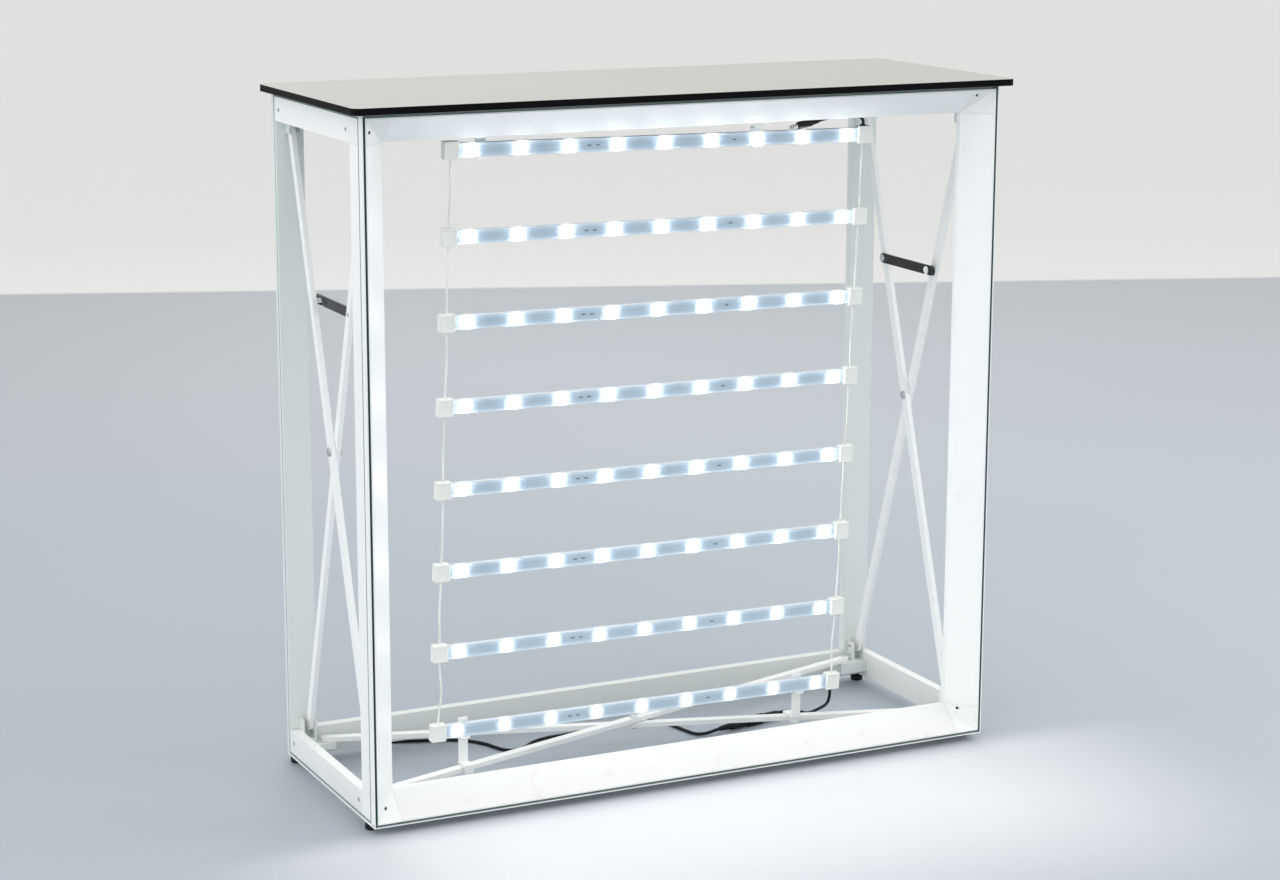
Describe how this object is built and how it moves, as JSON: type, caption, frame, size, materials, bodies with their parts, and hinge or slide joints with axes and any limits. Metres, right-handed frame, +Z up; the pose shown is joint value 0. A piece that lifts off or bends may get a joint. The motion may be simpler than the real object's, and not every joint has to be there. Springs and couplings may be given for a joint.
{
  "type": "light-box counter",
  "caption": "Portable bar counter frame of hollow white extrusions with folding cross braces, an inner curtain of LED light bars on cords and a black-edged laminate top.",
  "frame": {"origin": "on the floor, under the middle of the counter top", "axes": "+Z up, +X to the right seen from the front, +Y from the front to the open back"},
  "size_m": [1.036, 0.4946, 1.0223],
  "materials": {
    "white_coat": "white powder coat on aluminium extrusion, satin",
    "grey_coat": "pale grey powder coat on aluminium extrusion, satin",
    "white_moulding": "white glass-filled moulding, fine texture",
    "laminate": "grey-beige laminate board with black edge band",
    "dark_steel": "black oxide steel, glossy",
    "zinc_steel": "zinc plated",
    "light_strip": "pale blue translucent strip with clear lenses",
    "white_cord": "braided cord",
    "black_rubber": "matt black",
    "black_plastic": "fine moulded texture"
  },
  "bodies": {
    "frame": {"front_left_post": "white_coat", "front_right_post": "white_coat", "front_bottom_rail": "white_coat", "front_top_rail": "white_coat", "left_bottom_rail": "white_coat", "left_top_rail": "white_coat", "right_bottom_rail": "white_coat", "right_top_rail": "white_coat", "left_fixed_brace": "white_coat", "right_fixed_brace": "white_coat", "base_brace_upper": "white_coat", "base_brace_lower": "white_coat", "rear_left_post": "grey_coat", "rear_right_post": "grey_coat", "rear_bottom_rail": "grey_coat", "rear_top_rail": "grey_coat", "rear_left_bottom_corner": "grey_coat", "rear_right_bottom_corner": "grey_coat", "rear_left_top_corner": "grey_coat", "rear_right_top_corner": "grey_coat", "front_left_bottom_corner": "white_moulding", "front_right_bottom_corner": "white_moulding", "front_left_top_corner": "white_moulding", "front_right_top_corner": "white_moulding", "left_bar_stand": "white_moulding", "right_bar_stand": "white_moulding", "left_bar_hook": "white_moulding", "right_bar_hook": "white_moulding", "top_lead": "black_rubber", "lower_lead": "black_rubber", "supply_lead": "black_rubber", "supply_coil": "black_rubber", "top_lead_plug": "black_plastic", "inline_socket": "black_plastic", "inline_plug": "black_plastic", "supply_end_plug": "black_plastic", "left_brace_pivot": "zinc_steel", "right_brace_pivot": "zinc_steel", "left_link_rivet": "zinc_steel", "right_link_rivet": "zinc_steel", "base_brace_pivot": "zinc_steel", "light_bar_1": "light_strip", "light_bar_2": "light_strip", "light_bar_3": "light_strip", "light_bar_4": "light_strip", "light_bar_5": "light_strip", "light_bar_6": "light_strip", "light_bar_7": "light_strip", "light_bar_8": "light_strip", "left_ladder_cord": "white_cord", "right_ladder_cord": "white_cord", "counter_top": "laminate"},
    "left_fold": {"left_fold_brace": "white_coat"},
    "right_fold": {"right_fold_brace": "white_coat"},
    "left_link": {"left_lock_link": "dark_steel"},
    "right_link": {"right_lock_link": "dark_steel"},
    "front_left_leveller": {"front_left_foot": "black_rubber"},
    "front_right_leveller": {"front_right_foot": "black_rubber"},
    "rear_left_leveller": {"rear_left_foot": "black_rubber"},
    "rear_right_leveller": {"rear_right_foot": "black_rubber"}
  },
  "joints": [
    {"name": "left_brace_fold", "type": "hinge", "parent": "frame", "child": "left_fold", "pos_m": [-0.476, 0.022, 0.512], "axis": [1, 0, 0], "range_deg": [0, 32]},
    {"name": "right_brace_fold", "type": "hinge", "parent": "frame", "child": "right_fold", "pos_m": [0.476, 0.022, 0.512], "axis": [-1, 0, 0], "range_deg": [0, 32]},
    {"name": "left_link_swing", "type": "hinge", "parent": "frame", "child": "left_link", "pos_m": [-0.476, -0.04427, 0.72], "axis": [1, 0, 0], "range_deg": [0, 110]},
    {"name": "right_link_swing", "type": "hinge", "parent": "frame", "child": "right_link", "pos_m": [0.476, 0.08827, 0.72], "axis": [-1, 0, 0], "range_deg": [0, 110]},
    {"name": "front_left_foot_screw", "type": "slide", "parent": "frame", "child": "front_left_leveller", "axis": [0, 0, -1], "range_m": [0, 0.01]},
    {"name": "front_right_foot_screw", "type": "slide", "parent": "frame", "child": "front_right_leveller", "axis": [0, 0, -1], "range_m": [0, 0.01]},
    {"name": "rear_left_foot_screw", "type": "slide", "parent": "frame", "child": "rear_left_leveller", "axis": [0, 0, -1], "range_m": [0, 0.01]},
    {"name": "rear_right_foot_screw", "type": "slide", "parent": "frame", "child": "rear_right_leveller", "axis": [0, 0, -1], "range_m": [0, 0.01]}
  ],
  "couplings": [
    {"joint": "left_link_swing", "follows": "left_brace_fold", "ratio": 3.4},
    {"joint": "right_link_swing", "follows": "right_brace_fold", "ratio": 3.4}
  ]
}
